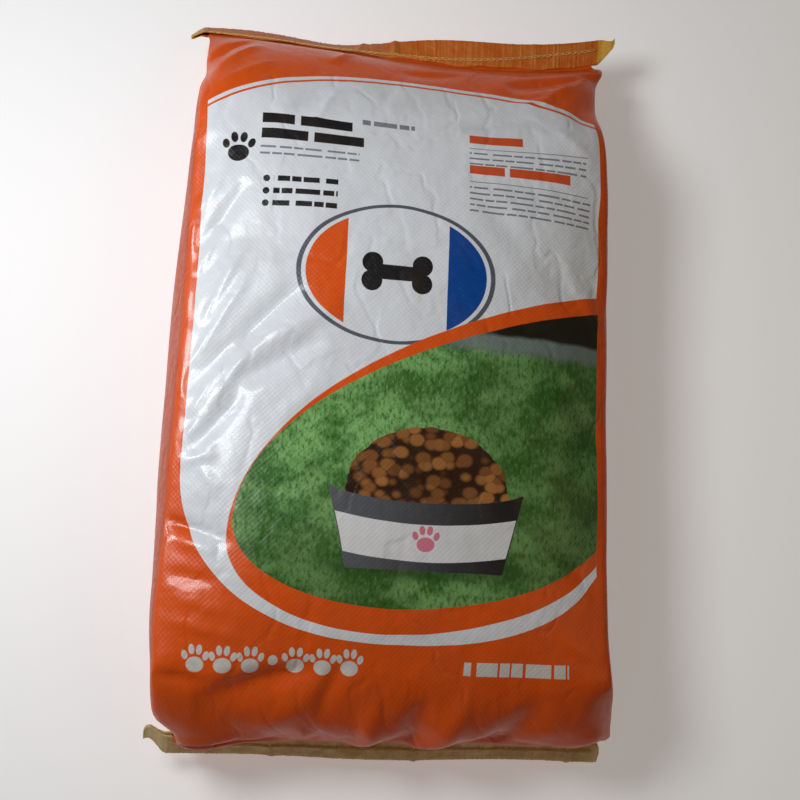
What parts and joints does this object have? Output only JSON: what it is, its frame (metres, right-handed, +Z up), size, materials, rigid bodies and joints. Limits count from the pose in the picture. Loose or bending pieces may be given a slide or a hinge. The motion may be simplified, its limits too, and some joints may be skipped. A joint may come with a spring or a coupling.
{
  "type": "pet food bag",
  "caption": "Filled side-gusseted woven plastic sack of dry pet food, lying flat, with a folded paper tape sewn over each end.",
  "frame": {"origin": "middle of the flat underside, half way along the filled part of the sack", "axes": "+Z up out of the printed face, +Y along the sack from its bottom seam to its top seam, +X across the printed face to the right"},
  "size_m": [0.48, 0.7741, 0.1766],
  "materials": {
    "printed_film": "glossy printed film on woven plastic tape, creased",
    "crepe_paper": "matt creped brown paper, folded over the seam",
    "sewing_thread": "matt spun thread"
  },
  "bodies": {
    "root": {"sack": "printed_film", "top_tape": "crepe_paper", "bottom_tape": "crepe_paper", "top_seam_thread": "sewing_thread", "bottom_seam_thread": "sewing_thread"}
  },
  "joints": []
}
